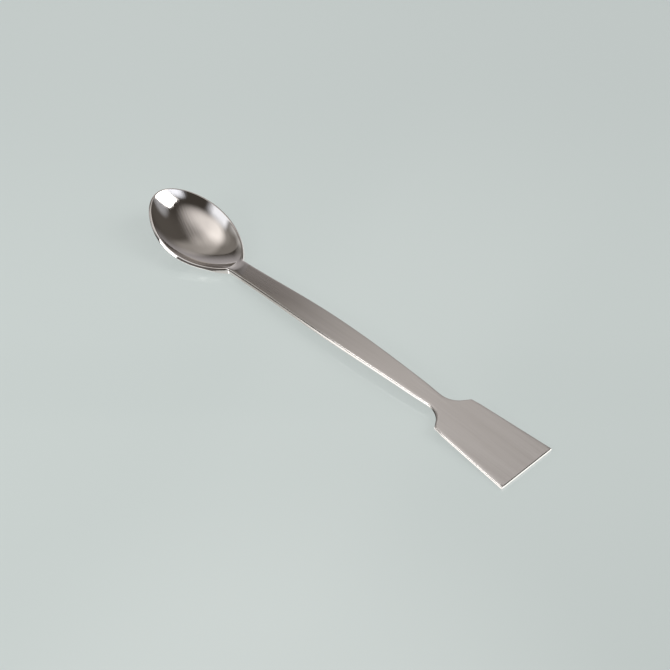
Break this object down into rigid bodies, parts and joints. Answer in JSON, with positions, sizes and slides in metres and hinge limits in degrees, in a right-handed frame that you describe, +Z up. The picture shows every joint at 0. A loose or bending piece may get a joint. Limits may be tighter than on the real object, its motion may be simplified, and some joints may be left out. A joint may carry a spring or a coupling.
{
  "type": "lab spatula",
  "caption": "Steel spoon spatula for a laboratory: a dished, upturned bowl on a slim bowed handle, with a flat, flared blade at the other end.",
  "frame": {"origin": "bottom centre of the part's box, on the surface that it lies on", "axes": "+X along the length from the bowl to the blade, +Y across, +Z up"},
  "size_m": [0.1794, 0.0288, 0.0137],
  "materials": {
    "steel": "satin, brushed along the length, with a polished bowl"
  },
  "bodies": {
    "root": {"spatula": "steel"}
  },
  "joints": []
}
